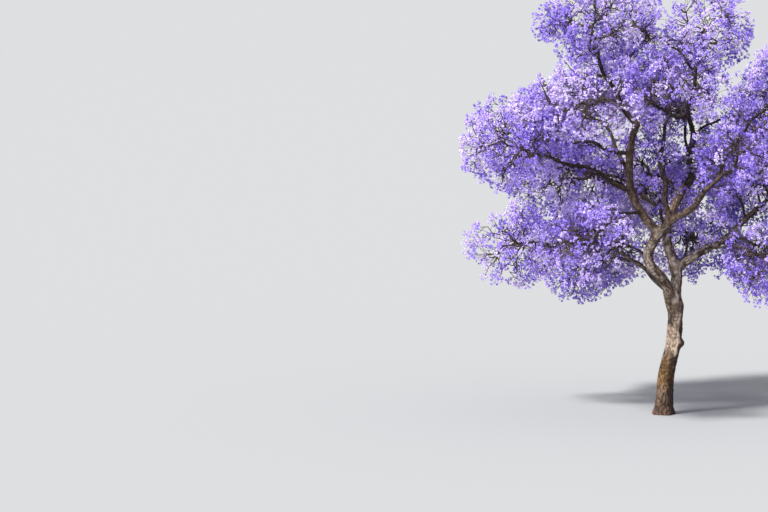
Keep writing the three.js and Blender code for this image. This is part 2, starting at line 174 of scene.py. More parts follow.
def shares_along(starts, alongs, points):
    """How far along each straight stretch each point lies, from 0 to 1."""
    shares = np.einsum("pij,ij->pi", points[:, None] - starts, alongs)
    return np.clip(shares / np.maximum((alongs * alongs).sum(1), TINY), 0, 1)


def gap_to(stretches, probes):
    """Each probe's distance to the surface of the nearest of these stretches."""
    a, b, radius = stretches
    near = a + shares_along(a, b - a, probes)[..., None] * (b - a)
    return (lengths_of(probes[:, None] - near) - radius).min(1)


class Limb:
    """A limb's path: straight from root to tip, with its bow and two crossed waves."""

    def __init__(self, name, parent, at, tip, bow, wave, turns, root, end):
        start = parent.points(at) if parent else np.zeros(3)
        tip = np.array(tip, float)
        if parent and at == 1:
            start = start - LIMB_SINK * unit(tip - start)
        self.name, self.parent, self.at, self.carries = name, parent, at, end <= BEARING_END
        self.start, self.chord, self.bow = start, tip - start, np.array(bow, float)
        self.wave, self.turns, self.root, self.end = wave, turns, root, end
        self.side = unit(np.cross(self.chord, SIGHT))
        self.depth = unit(np.cross(self.chord, self.side))
        self.main = name in LIMBS and end > SPRING.main

    def points(self, t):
        t = np.asarray(t, float)[..., None]
        swing = self.wave * np.sin(np.pi * t)
        angle = 2 * np.pi * self.turns * t
        deep = WAVE_DEPTH.share * np.sin(WAVE_DEPTH.rate * angle + WAVE_DEPTH.phase)
        path = self.start + self.chord * t + self.bow * 4 * t * (1 - t)
        return path + self.side * swing * np.sin(angle) + self.depth * swing * deep

    def length(self):
        path = self.points(np.linspace(0, 1, STEPS.length + 1))
        return lengths_of(np.diff(path, axis=0)).sum()

    def radius(self, t):
        return between(self.root, self.end, t)

    def middle(self):
        """The middle of the mass that the tip carries."""
        tip = self.points(1)
        return tip + MASS.offset * unit(tip - self.points(1 - STEPS.heading))

    def stretches(self):
        """The limb as straight stretches: their ends, and the radius of each."""
        count = STEPS.gaps
        path = self.points(np.linspace(0, 1, count + 1))
        return path[:-1], path[1:], self.radius((np.arange(count) + 0.5) / count)

    def stem(self):
        """Its mass's stem, from tip to middle, as one straight stretch."""
        return self.points(1)[None], self.middle()[None], self.end


def main_limbs():
    paths = TRUNK.tip, TRUNK.bow, TRUNK.wave, TRUNK.turns
    limbs = {"trunk": Limb("trunk", None, 0, *paths, TRUNK.root, TRUNK.end)}
    for name, (parent, *sizes) in LIMBS.items():
        limbs[name] = Limb(name, limbs[parent], *sizes)
    return list(limbs.values())


def tier_places(taken):
    """The places in the tiers that still need a mass."""
    places = []
    for height, reach, count, turn, ripple in TIERS:
        for i in range(count):
            angle = 2 * math.pi * ((i + turn) / count)
            place = np.array((
                CROWN.axis[0] + reach * math.cos(angle),
                CROWN.axis[1] + reach * CROWN.squeeze * math.sin(angle),
                height + ripple * math.sin(CROWN.ripples * angle + height),
            ))
            near = any(np.linalg.norm(other - place) < CROWN.spacing for other in taken + places)
            inside = np.all(place >= OPEN_FRONT[0]) and np.all(place <= OPEN_FRONT[1])
            if not near and not inside:
                places.append(place)
    return places


def spring_for(place, limbs):
    """The main limb that a place's bough springs from, where on it, and the way from there to the place."""
    best = (math.inf, None, 0, None)
    for limb in (limb for limb in limbs if limb.main):
        length = limb.length()
        taken = [other.at for other in limbs if other.parent is limb]
        t = SPRING.first
        while t < SPRING.last:
            run = place - limb.points(t)
            crowd = sum(abs(other - t) * length < SPRING.near for other in taken)
            steep = max(0, SPRING.rise * math.hypot(run[0], run[1]) - run[2])
            cost = np.linalg.norm(run) + SPRING.steep * steep + SPRING.crowd * crowd
            if cost < best[0]:
                best = (cost, limb, t, run)
            t += SPRING.step
    return best[1:]


def bough_is_clear(bough, limbs):
    """Whether a bough and its mass's stem stay clear of all others, apart from near its fork."""
    steps, probes = BOUGH.steps, BOUGH.probes
    shares = np.linspace(0, 1, probes)[:, None]
    path = bough.points(np.arange(steps + 1) / steps)
    near_fork = lengths_of(path[:-1] - path[0]) < BOUGH.fork
    rows = np.concatenate([path[i] + shares * (path[i + 1] - path[i]) for i in range(steps)])
    needed = bough.radius((np.arange(steps) + 0.5) / steps) + BOUGH.clearance
    kin = [bough.parent, bough.parent.parent] + [limb for limb in limbs if limb.parent is bough.parent]
    others = [(limb.stretches(), limb in kin) for limb in limbs]
    others += [(limb.stem(), False) for limb in limbs if limb.carries]
    for stretches, is_kin in others:
        gaps = gap_to(stretches, rows).reshape(steps, probes).min(1)
        if np.any((gaps < needed) & ~(is_kin & near_fork)):
            return False
    ahead = path[-1] + shares * (bough.middle() - path[-1])
    least = bough.end + BOUGH.clearance
    return all(gap_to(limb.stretches(), ahead).min() > least for limb in limbs)


def add_bough(name, place, limbs):
    limb, t, run = spring_for(place, limbs)
    length = np.linalg.norm(run) - MASS.offset
    tip = limb.points(t) + unit(run) * length
    thick = max(BOUGH.slender * length, BOUGH.least)
    root = min(thick, BOUGH.most, BOUGH.limb_share * limb.radius(t))
    wave = BOUGH.wave * length
    across = np.cross(unit(np.array((run[0], run[1], 0))), UP)
    for size in BOUGH_BOWS:
        for roll in BOUGH_ROLLS:
            bow = (UP * math.cos(roll) + across * math.sin(roll)) * size * length
            bough = Limb(name, limb, t, tip, bow, wave, BOUGH.turns, root, BOUGH.end)
            if bough_is_clear(bough, limbs):
                limbs.append(bough)
                return


def grow_limbs():
    limbs = main_limbs()
    taken = [limb.middle() for limb in limbs if limb.carries]
    for i, place in enumerate(tier_places(taken)):
        add_bough(f"bough_{i + 1:02d}", place, limbs)
    return limbs


limbs = grow_limbs()
bearers = [limb for limb in limbs if limb.carries]
middles = np.array([limb.middle() for limb in bearers])
wood = gathered(limb.stretches() for limb in limbs)

# The way that the tree is mostly looked at, and the two ways across it.
LOOK = unit(middles.mean(0) - np.array(CAMERA.place))
ACROSS = unit(np.cross(LOOK, UP))
SCREEN = np.stack([ACROSS, np.cross(ACROSS, LOOK)], 1)


# Meshes from arrays.
def in_scene(name, data):
    """A new object in the scene that holds this mesh, light or camera."""
    thing = bpy.data.objects.new(name, data)
    bpy.context.scene.collection.objects.link(thing)
    return thing


def mesh_object(name, points, faces, materials, smooth=True):
    mesh = bpy.data.meshes.new(name)
    mesh.vertices.add(len(points))
    mesh.vertices.foreach_set("co", np.ascontiguousarray(points, np.float32).ravel())
    mesh.loops.add(faces.size)
    mesh.loops.foreach_set("vertex_index", np.ascontiguousarray(faces, np.int32).ravel())
    mesh.polygons.add(len(faces))
    mesh.polygons.foreach_set("loop_start", np.arange(0, faces.size, faces.shape[1], dtype=np.int32))
    mesh.update(calc_edges=True)
    mesh.shade_smooth() if smooth else mesh.shade_flat()
    for material in materials:
        mesh.materials.append(material)
    return in_scene(name, mesh)


def crossways(direction):
    """Two unit vectors across each direction and each other."""
    helper = np.where(np.abs(direction[..., 2:]) < STEEP, UP, np.array((1.0, 0.0, 0.0)))
    first = unit(np.cross(direction, helper))
    return first, np.cross(direction, first)


def ways_round(direction, angle):
    """Unit vectors across each direction, at these angles round it."""
    first, second = crossways(direction)
    return first[:, None] * np.cos(angle)[..., None] + second[:, None] * np.sin(angle)[..., None]


def alike(points, faces):
    """One mesh of many bodies with the same faces. points is (bodies, points, 3)."""
    faces = np.array(faces) + points.shape[1] * np.arange(len(points))[:, None, None]
    return points.reshape(-1, 3), faces.reshape(-1, 3)


def wall_faces(rows, sides):
    faces = []
    for row in range(rows):
        for i in range(sides):
            a, b = row * sides + i, row * sides + (i + 1) % sides
            faces += [(a, b, b + sides), (a, b + sides, a + sides)]
    return faces


def tubes(paths, radii, sides):
    """Points and triangles of tapering tubes that close to a point. paths is (tubes, rows, 3)."""
    count, rows = radii.shape
    ring = ways_round(unit(paths[:, -1] - paths[:, 0]), even_angles(sides))
    body = paths[:, :-1, None] + radii[:, :-1, None, None] * ring[:, None]
    points = np.concatenate([body.reshape(count, -1, 3), paths[:, -1:]], 1)
    last = (rows - 2) * sides
    tip = [(last + i, last + (i + 1) % sides, last + sides) for i in range(sides)]
    return alike(points, wall_faces(rows - 2, sides) + tip)


def joined(parts):
    """One mesh's points and faces from several."""
    starts = np.cumsum([0] + [len(points) for points, _ in parts[:-1]])
    return np.concatenate([p for p, _ in parts]), np.concatenate([f + s for (_, f), s in zip(parts, starts)])


# Large numbers that mix a cell's place and a seed into a value that looks random.
HASH_CELL = (73856093, 19349663, 83492791)
HASH_SEED = 2654435761
HASH_MIX = 1274126177


def seeded_noise(points, seed):
    """Smooth noise from -1 to 1 at each point, the same in every run."""
    cell = np.floor(points).astype(np.int64)
    part = points - cell
    part = part * part * (3 - 2 * part)
    total = np.zeros(points.shape[:-1])
    for corner in np.ndindex(2, 2, 2):
        x, y, z = ((cell[..., axis] + corner[axis]) * HASH_CELL[axis] for axis in range(3))
        mixed = x ^ y ^ z ^ (seed * HASH_SEED)
        mixed = ((mixed ^ (mixed >> 13)) * HASH_MIX) & 0xFFFFFFFF
        value = ((mixed ^ (mixed >> 16)) & 0xFFFF) / 32767.5 - 1
        share = np.ones(points.shape[:-1])
        for axis in range(3):
            share *= part[..., axis] if corner[axis] else 1 - part[..., axis]
        total += share * value
    return total


def noise_at_two_scales(points, kind):
    broad = seeded_noise(points * kind.rate, kind.seed)
    return broad + kind.fine * seeded_noise(points * kind.fine_rate, kind.seed + 1)


# The bark mesh: every limb as a fine tube, made one skin, drawn smoothly into its forks, and given relief.
BARK = Values(
    voxel=0.029, fine_radius=0.14, blend=0.2, least_blend=0.006,
    sides=20, step=0.05, least_rows=8, cut=1e-4,
)
# Reading the skin: the steps along a limb, the reach in which it counts, and the points read at a time.
SKIN = Values(
    step=0.06, least_steps=12, reach=0.5, far=9.0, batch=20000, least_weight=0.01, rounds=2,
)
# How far points are drawn to their neighbours' mean, and how often, before and after the split.
RELAX = Values(coarse=(0.5, 2), fine=(0.4, 1))
RELIEF = Values(
    plates=24, plate_rise=3.2, plate_depth=0.045, plate_seed=1, fine=52, fine_rise=1.1, fine_seed=2,
    lumps=3.2, lump_depth=0.07, lump_seed=3, stretch=2.4, shift=3.7,
)
KNOB = Values(place=(0.46, -0.05, 2.04), reach=0.13, height=0.1, sharp=1.5)
# Ragged patches with a place on the bark: lowest, highest, the way that they face and how squarely at
# least, how ragged their edge is, how fine, and its seed.
PATCHES = {
    # Pale flaked bark, partly painted sunlight on the trunk's left front, towards the key light.
    "pale": (1.6, 2.75, (-0.6, -0.8), 0.25, 0.5, 9, 11),
    "ochre": (0.5, 1.95, (-0.6, -0.8), 0.1, 0.4, 5, 12),
    # Painted shade on the trunk's right side, away from the key light.
    "painted_shade_side": (0.1, 2.9, (0.9, -0.44), 0.3, 0.3, 5, 13),
    "foot": (-0.5, 0.8, (-0.6, -0.8), -1.6, 0.4, 6, 15),
    # Grey lichen on both stems, partly painted sunlight on their left front.
    "grey": (3.1, 5.3, (-0.5, -0.86), 0.5, 0.8, 9, 16),
}
PATCH_EDGE = Values(height=0.4, side=0.35, ragged=2, drawn_out=0.5)
# Painted light and shade: the upper left side of every limb faces the key light and keeps the bark's colour.
# The rest takes painted shade with a ragged edge, and high in the crown less of it keeps its colour.
PAINTED_LIT_SIDE = Values(
    facing=(-0.66, -0.38, 0.65), sharp=0.8, ragged=0.35, rate=4, seed=14,
    high=8.0, fade=2.5,
)


def trunk_radius(t, angle):
    taper = between(TRUNK.root, TRUNK.end, t ** TRUNK.waist)
    lobe = 1 - FLARE.depth * (0.5 + 0.5 * np.cos(FLARE.lobes * angle + FLARE.phase))
    return taper + FLARE.reach * lobe * np.exp(-t * TRUNK.tip[2] / FLARE.height)


def limb_tube(limb):
    """A limb as one closed tube, with level rings on the trunk."""
    sides = BARK.sides
    rows = max(BARK.least_rows, round(limb.length() / BARK.step))
    t = np.linspace(0, 1, rows + 1)
    path = limb.points(t)
    angle = even_angles(sides)
    if limb.name == "trunk":
        ring, radius = np.stack([np.cos(angle), np.sin(angle), 0 * angle], 1), trunk_radius(t[:, None], angle)
    else:
        ring, radius = ways_round(unit(np.gradient(path, axis=0)), angle), limb.radius(t)[:, None]
    body = path[:, None] + radius[..., None] * ring
    points = np.concatenate([body.reshape(-1, 3), path[:1], path[-1:]])
    foot, head = len(points) - 2, len(points) - 1
    faces = wall_faces(rows, sides)
    for i in range(sides):
        j = (i + 1) % sides
        faces += [(foot, j, i), (head, rows * sides + i, rows * sides + j)]
    return points, np.array(faces)


def one_skin(points, faces):
    """The joined tubes as one closed mesh of even quads."""
    rough = mesh_object("rough_bark", points, faces, [])
    remesh = rough.modifiers.new("skin", "REMESH")
    remesh.mode = "VOXEL"
    remesh.voxel_size = BARK.voxel
    evaluated = rough.evaluated_get(bpy.context.evaluated_depsgraph_get())
    mesh = bpy.data.meshes.new_from_object(evaluated)
    bpy.data.objects.remove(rough)
    return mesh


class Skin:
    """The smooth union of all limbs, read as a distance field."""

    def __init__(self):
        self.lines = []
        for limb in limbs:
            steps = max(SKIN.least_steps, round(limb.length() / SKIN.step))
            t = np.linspace(0, 1, steps + 1)
            path = limb.points(t)
            reach = SKIN.reach + limb.root
            self.lines.append((limb, t, path, path.min(0) - reach, path.max(0) + reach))

    def place(self, line, points):
        """Share of the limb's length, vector out from its axis, and its radius, for each point."""
        limb, t, path = line[:3]
        if limb.name == "trunk":
            share = np.clip(points[:, 2] / TRUNK.tip[2], 0, 1)
            out = points - limb.points(share)
            out[:, 2] = np.maximum(points[:, 2] - TRUNK.tip[2], 0)
            return share, out, trunk_radius(share, np.arctan2(out[:, 1], out[:, 0]))
        along = np.diff(path, axis=0)
        where = shares_along(path[:-1], along, points)
        near = path[:-1] + where[..., None] * along
        best = lengths_of(points[:, None] - near).argmin(1)
        rows = np.arange(len(points))
        share = t[best] + where[rows, best] * (t[1] - t[0])
        return share, points - near[rows, best], limb.radius(share)

    def read(self, points):
        """Distance to the union, the way out of it, and for each limb its weight, share, way and radius."""
        shape = (len(points), len(limbs))
        gaps = np.full(shape, SKIN.far)
        ways = np.zeros((*shape, 3), np.float32)
        shares = np.zeros(shape, np.float32)
        girths = np.zeros(shape, np.float32)
        for column, line in enumerate(self.lines):
            inside = np.nonzero(np.all((points > line[3]) & (points < line[4]), axis=1))[0]
            for some in np.array_split(inside, 1 + len(inside) // SKIN.batch):
                share, out, radius = self.place(line, points[some])
                far = lengths_of(out)
                gaps[some, column] = far - radius
                ways[some, column] = out / np.maximum(far, TINY)[:, None]
                shares[some, column] = share
                girths[some, column] = radius
        rows = np.arange(len(points))
        nearest = gaps.argmin(1)
        least = gaps[rows, nearest]
        blend = BARK.blend * girths[rows, nearest] + BARK.least_blend
        weights = np.exp(-(gaps - least[:, None]) / blend[:, None])
        total = weights.sum(1)
        weights /= total[:, None]
        way = unit(np.einsum("pl,plk->pk", weights, ways))
        return least - blend * np.log(total), way, weights, shares, ways, girths


def relaxed(mesh, share, rounds):
    """The mesh's points, each drawn towards the mean of its neighbours."""
    points = np.zeros(len(mesh.vertices) * 3, np.float32)
    mesh.vertices.foreach_get("co", points)
    points = points.reshape(-1, 3).astype(float)
    pairs = np.zeros(len(mesh.edges) * 2, np.int32)
    mesh.edges.foreach_get("vertices", pairs)
    pairs = pairs.reshape(-1, 2)
    count = np.bincount(pairs.ravel(), minlength=len(points))[:, None]
    for _ in range(rounds):
        total = np.zeros_like(points)
        for here, there in (pairs.T, pairs.T[::-1]):
            for axis in range(3):
                total[:, axis] += np.bincount(here, points[there, axis], len(points))
        points = points + share * (total / count - points)
    return points


def onto_skin(skin, points):
    """Points moved to the skin. Those of the flat cut keep their place, at ground level."""
    foot = points[:, 2] < 0.5 * BARK.voxel
    for _ in range(SKIN.rounds):
        distance, way, *_ = skin.read(points)
        cut = foot & (distance < -BARK.voxel)
        distance[cut] = 0
        points = points - distance[:, None] * way
        points[foot, 2] = 0
    return points


def split_thick(mesh, fine):
    """Splits the faces of the thick limbs in four."""
    work = bmesh.new()
    work.from_mesh(mesh)
    work.verts.ensure_lookup_table()
    edges = [edge for edge in work.edges if fine[edge.verts[0].index] and fine[edge.verts[1].index]]
    bmesh.ops.subdivide_edges(work, edges=edges, cuts=1, use_grid_fill=True)
    bmesh.ops.triangulate(work, faces=[face for face in work.faces if len(face.verts) > 4])
    work.to_mesh(mesh)
    work.free()


def grain_place(column, share, way, girth):
    """A place in the bark's grain: round the limb at its own radius and along it, drawn out."""
    limb = limbs[column]
    round_it = np.stack([way @ limb.side, way @ limb.depth], -1) * girth[:, None]
    along = share * limb.length() / RELIEF.stretch + RELIEF.shift * column
    return np.concatenate([round_it, along[:, None]], 1)


def bark_relief(place):
    """Plates between fissures, from about -1 to 1."""
    plates = np.abs(seeded_noise(place * RELIEF.plates, RELIEF.plate_seed))
    fine = np.abs(seeded_noise(place * RELIEF.fine, RELIEF.fine_seed))
    return np.clip(RELIEF.plate_rise * plates + RELIEF.fine_rise * fine - 1, -1, 1)


def patch(points, way, low, high, facing, least, ragged, rate, seed):
    """Where a patch lies on the bark, from 0 to 1."""
    height = np.minimum(points[:, 2] - low, high - points[:, 2]) / PATCH_EDGE.height
    side = (way[:, :2] @ unit(np.array(facing)) - least) / PATCH_EDGE.side
    noise = seeded_noise(points * (rate, rate, PATCH_EDGE.drawn_out * rate), seed)
    return np.clip(np.minimum(height, side) + PATCH_EDGE.ragged * ragged * noise, 0, 1)


# The share of each limb's surface on its upper left side, towards the key light, from 0 to 1; the rest gets
# painted shade.
def painted_lit_side(points, way):
    ragged = PAINTED_LIT_SIDE.ragged * seeded_noise(points * PAINTED_LIT_SIDE.rate, PAINTED_LIT_SIDE.seed)
    side = np.clip(0.5 + PAINTED_LIT_SIDE.sharp * (way @ unit(np.array(PAINTED_LIT_SIDE.facing))) + ragged, 0, 1)
    return side * np.clip((PAINTED_LIT_SIDE.high - points[:, 2]) / PAINTED_LIT_SIDE.fade, 0, 1)


def add_values(mesh, name, values):
    kind, field = ("FLOAT_VECTOR", "vector") if values.ndim == 2 else ("FLOAT", "value")
    mesh.attributes.new(name, kind, "POINT").data.foreach_set(field, values.astype(np.float32).ravel())


def set_points(mesh, points):
    mesh.vertices.foreach_set("co", points.astype(np.float32).ravel())


def bark_surface(skin):
    """The mesh of all limbs, finer where they are thick, and its points on the smooth union."""
    mesh = one_skin(*joined([limb_tube(limb) for limb in limbs]))
    points = onto_skin(skin, relaxed(mesh, *RELAX.coarse))
    weights, girths = skin.read(points)[2::3]
    set_points(mesh, points)
    split_thick(mesh, girths[np.arange(len(points)), weights.argmax(1)] > BARK.fine_radius)
    return mesh, onto_skin(skin, relaxed(mesh, *RELAX.fine))


def grain_and_relief(weights, shares, ways, girths):
    """Each point's place in its main limb's grain, and its relief, blended between limbs."""
    main = weights.argmax(1)
    relief = np.zeros(len(main))
    grain = np.zeros((len(main), 3))
    for column in range(len(limbs)):
        some = np.nonzero(weights[:, column] > SKIN.least_weight)[0]
        place = grain_place(column, shares[some, column], ways[some, column], girths[some, column])
        relief[some] += weights[some, column] * bark_relief(place)
        own = main[some] == column
        grain[some[own]] = place[own]
    return grain, relief


def make_bark(material):
    skin = Skin()
    mesh, points = bark_surface(skin)
    _, way, weights, shares, ways, girths = skin.read(points)
    grain, relief = grain_and_relief(weights, shares, ways, girths)
    girth = (weights * girths).sum(1)
    lumps = seeded_noise(points * RELIEF.lumps, RELIEF.lump_seed)
    knob = np.exp(-(((points - KNOB.place) / KNOB.reach) ** 2).sum(1) ** KNOB.sharp)
    rise = girth * (RELIEF.plate_depth * relief + RELIEF.lump_depth * lumps) + KNOB.height * knob
    above_cut = points[:, 2] >= BARK.cut
    points = points + rise[:, None] * way * above_cut[:, None]
    points[:, 2] = np.maximum(points[:, 2], 0)
    set_points(mesh, points)
    # The lit-side share and some of the patches carry painted light and shade into the bark's colour.
    values = {"relief": relief, "girth": girth, "grain": grain, "painted_lit_side": painted_lit_side(points, way)}
    values.update({name: patch(points, way, *sizes) for name, sizes in PATCHES.items()})
    for name, value in values.items():
        add_values(mesh, name, value)
    mesh.update()
    mesh.shade_smooth()
    mesh.materials.append(material)
    return in_scene("bark", mesh)


# Twigs and panicles. The first six twigs of a mass are the source's, and two finer orders follow.
FIRST_TWIGS = Values(rows=8, sides=5, root=0.032, tip=0.018, sway=0.1)
SECOND_TWIGS = Values(
    rows=7, sides=3, root=0.022, tip=0.011, sway=0.13,
    share=0.62, tries=80, seed=5000, inner=0.3, outer=0.52, clump=0.0,
)
THIRD_TWIGS = Values(
    rows=4, sides=3, root=0.008, tip=0.005, sway=0.08,
    share=0.38, tries=640, seed=90000, inner=0.2, outer=0.68, clump=1.0,
)
# A twig leaves along its parent and bends to its tip, and sways both ways across on its way.
TWIG_PATH = Values(along=0.7, bend=0.45, turns=(1.0, 2.2), across=0.8)
# Each order of twigs: its number, and the slice of its path's rows that finer ones leave from.
TWIG_JOINTS = Values(stem=(0, 1, 7), first=(1, 1, 7), second=(2, 1, 6), shoot=(0, 2, 6))
MASS_STEM = Values(back=0.05, share=0.95, sides=6)
CLUMP = Values(rate=1.25, fine_rate=2.7, fine=0.5, seed=5, scatter=0.25)
# Short side twigs with panicles, along the upper part of each limb.
SHOOTS = Values(
    lowest=4.5, step=0.3, start=0.2, lengths=(0.15, 0.85), seed=1300, seed_step=31,
    along=0.7, rise=0.5, gap=0.12, tips=6, spread=0.28, heading=0.01,
)
# The axes of the panicles. They lean outwards and up, and are shorter where the crown's reach ends.
PANICLE = Values(lengths=(0.16, 0.28), rise=0.4, outward=0.5, tip=0.002, cramped=0.3, heart=0.6)
# A panicle's side branches: their shares of its axis, lengths, lean from it, and thickness at the root.
BRANCHLETS = Values(
    shares=(0.15, 0.4, 0.62, 0.82, 1.0), lengths=(0.12, 0.045), lean=1.15,
    leans=(0.8, 1.15), thick=0.006,
)
# Panicles that would hide a limb or a coarse twig from the side mostly looked at are fewer.
THINNED = Values(limbs=0.16, limb_share=0.8, twigs=0.09, twig_share=0.5)
# The flowers at each side branch's end, open ones and bells, and their sizes.
FLOWER = Values(
    open=(3, 3, 2, 2, 1), bells=(0, 1, 1, 2, 2), lengths=(0.084, 0.05),
    sizes=(0.85, 1.12), spread=0.85, droop=0.15, mouth=0.04,
    lobes=5, lobe=0.46, lobe_fall=0.1, bell_sides=4, bell_mouth=0.018,
)
# What of a mass's space the finer twigs fill, and how far past the source's box twigs and flowers go.
REACH = Values(space=0.94, beyond=0.03, flowers=0.1)


def holds(index, points, size=1.0):
    """Whether points lie in a mass's own space: its ellipsoid, cut half-way to each neighbour."""
    away = points - middles[index]
    inside = ((away / MASS_SIZE) ** 2).sum(-1) <= size * size
    span = np.delete(middles, index, 0) - middles[index]
    far = lengths_of(span)
    return inside & np.all(away @ (span / far[:, None]).T < 0.5 * (far - MASS.gap), axis=-1)


def in_reach(points, beyond):
    """Whether points lie in the source's own box, or no further past it than this."""
    low, high = np.array(cad_box)
    return np.all((points > low - beyond) & (points < high + beyond), axis=-1)


def mass_points(index, seeds, inner, outer):
    """Seeded points of a mass, in the outer part of its ellipsoid."""
    height = 1 - 2 * spread(seeds, 0)
    angle = 2 * np.pi * spread(seeds, 1)
    out = inner + outer * np.sqrt(spread(seeds, 2))
    flat = np.sqrt(1 - height * height)
    way = np.stack([flat * np.cos(angle), flat * np.sin(angle), height], -1)
    return middles[index] + way * out[..., None] * MASS_SIZE


def best_joints(joints, tips):
    """The joint that each tip's twig grows from: near, along the way it heads, and early on its branch."""
    points, headings, depths = joints
    run = tips[:, None] - points
    far = lengths_of(run)
    turn = 1 - np.einsum("tjk,jk->tj", run, headings) / np.maximum(far, TINY)
    return (far * (1 + TWIG.steep * turn) + TWIG.depth * depths).argmin(1)


def twig_paths(starts, headings, tips, kind, rng):
    """Sinuous paths that leave along their parent's heading and bend to their tips."""
    t = np.linspace(0, 1, kind.rows)[None, :, None]
    run = tips - starts
    far = lengths_of(run)[:, None]
    leaving = unit(unit(run) + TWIG_PATH.along * headings)
    bend = starts + leaving * TWIG_PATH.bend * far
    path = (1 - t) ** 2 * starts[:, None] + 2 * t * (1 - t) * bend[:, None] + t * t * tips[:, None]
    first, second = crossways(unit(run))
    phase = rng.uniform(0, 2 * np.pi, (len(starts), 1, 1))
    turns = rng.uniform(*TWIG_PATH.turns, (len(starts), 1, 1))
    swing = kind.sway * far[:, None] * np.sin(np.pi * t)
    angle = 2 * np.pi * turns * t + phase
    sway = np.sin(angle) * first[:, None] + np.cos(TWIG_PATH.across * angle) * second[:, None]
    return path + swing * sway


def twigs_from(joints, tips, kind, rng):
    """The paths of twigs to these tips, each from its best joint."""
    best = best_joints(joints, tips)
    return twig_paths(joints[0][best], joints[1][best], tips, kind, rng)


def path_joints(paths, depth, first, last):
    """The places along twigs where finer ones may leave."""
    headings = unit(np.gradient(paths, axis=1))
    points = paths[:, first:last].reshape(-1, 3)
    return points, headings[:, first:last].reshape(-1, 3), np.full(len(points), float(depth))


def first_twigs(index, limb):
    """The source's first twigs: each from the best joint, which the new twig's own joint replaces."""
    start, middle = limb.points(1), middles[index]
    heading = unit(middle - start)
    shares = np.array(STEM_JOINTS)
    along = np.linspace(0, 1, TWIG.probes)[:, None]
    joints = [start + shares[:, None] * (middle - start), np.tile(heading, (len(shares), 1)), shares.copy()]
    twigs = []
    for k in range(MASS.tries):
        if len(twigs) == MASS.twigs:
            break
        tip = mass_points(index, np.array([index * MASS.tries + k]), MASS.inner, MASS.outer)
        if not holds(index, tip)[0]:
            continue
        best = best_joints(joints, tip)[0]
        point, tip = joints[0][best].copy(), tip[0]
        clear = gap_to(wood, point + along * (tip - point)).min() > TWIG.root + TWIG.clearance
        if not clear or not holds(index, 0.5 * (point + tip)):
            continue
        twigs.append((point, joints[1][best].copy(), tip))
        joints[0][best] = point + TWIG.joint * (tip - point)
        joints[1][best] = unit(tip - point)
        joints[2][best] += 1
    return [np.array(rows) for rows in zip(*twigs)]


def finer_twigs(index, joints, kind, rng):
    """Twigs of the next order to seeded tips, taken first where the crown is full."""
    seeds = kind.seed + index * MASS.seed_step + np.arange(kind.tries)
    tips = mass_points(index, seeds, kind.inner, kind.outer)
    tips = tips[holds(index, tips, REACH.space) & in_reach(tips, REACH.beyond)]
    fullness = kind.clump * noise_at_two_scales(tips, CLUMP)
    fullness += rng.normal(0, CLUMP.scatter, len(tips))
    count = round(kind.share * len(tips))
    return twigs_from(joints, tips[np.argsort(-fullness, kind="stable")[:count]], kind, rng)


def in_front(points, stretches, margin):
    """Whether points hide some of these straight stretches from the side mostly looked at."""
    a, b, radius = stretches
    flat, along = points @ SCREEN, (b - a) @ SCREEN
    near = a + shares_along(a @ SCREEN, along, flat)[..., None] * (b - a)
    close = lengths_of(flat[:, None] - near @ SCREEN) < radius + margin
    return np.any(close & ((points @ LOOK)[:, None] < near @ LOOK), axis=1)


def path_stretches(paths, kind):
    a, b = paths[:, :-1].reshape(-1, 3), paths[:, 1:].reshape(-1, 3)
    return a, b, np.full(len(a), kind.root)


def flowering(paths, kind, middle, shown, rng):
    """The tubes of some twigs, drawn out into their panicles' axes, and the axes of those that flower."""
    tips = paths[:, -1]
    heading = unit(tips - paths[:, -2])
    ways = unit(heading + PANICLE.outward * unit(tips - middle) + PANICLE.rise * UP)
    lengths = rng.uniform(*PANICLE.lengths, (len(paths), 1))
    lengths[~in_reach(tips + ways * lengths, REACH.beyond)] *= PANICLE.cramped
    whole = np.concatenate([paths, (tips + ways * lengths)[:, None]], 1)
    radii = np.append(np.linspace(kind.root, kind.tip, kind.rows), PANICLE.tip)
    heart = tips + PANICLE.heart * ways * lengths
    over_limbs = THINNED.limb_share * in_front(heart, wood, THINNED.limbs)
    over_twigs = THINNED.twig_share * in_front(heart, shown, THINNED.twigs)
    kept = rng.uniform(0, 1, len(paths)) >= np.maximum(over_limbs, over_twigs)
    return tubes(whole, np.tile(radii, (len(paths), 1)), kind.sides), (tips[kept], ways[kept], lengths[kept])


def grow_mass(index, limb, rng):
    """The coarse and the fine twig tubes of one mass, and the axes of its panicles."""
    start, middle = limb.points(1), middles[index]
    heading = unit(middle - start)
    root = (start - MASS_STEM.back * heading)[None]
    stem = twig_paths(root, heading[None], middle[None], FIRST_TWIGS, rng)
    first = twig_paths(*first_twigs(index, limb), FIRST_TWIGS, rng)
    joints = gathered([path_joints(stem, *TWIG_JOINTS.stem), path_joints(first, *TWIG_JOINTS.first)])
    second = finer_twigs(index, joints, SECOND_TWIGS, rng)
    joints = gathered([joints, path_joints(second, *TWIG_JOINTS.second)])
    third = finer_twigs(index, joints, THIRD_TWIGS, rng)
    stem_radii = np.linspace(MASS_STEM.share * limb.end, FIRST_TWIGS.root, stem.shape[1])[None]
    shown = path_stretches(np.concatenate([stem, first]), FIRST_TWIGS)
    grown = [flowering(paths, kind, middle, shown, rng) for paths, kind in
             ((first, FIRST_TWIGS), (second, SECOND_TWIGS), (third, THIRD_TWIGS))]
    coarse = joined([tubes(stem, stem_radii, MASS_STEM.sides)] + [tube for tube, _ in grown[:2]])
    return coarse, grown[2][0], gathered(axes for _, axes in grown)


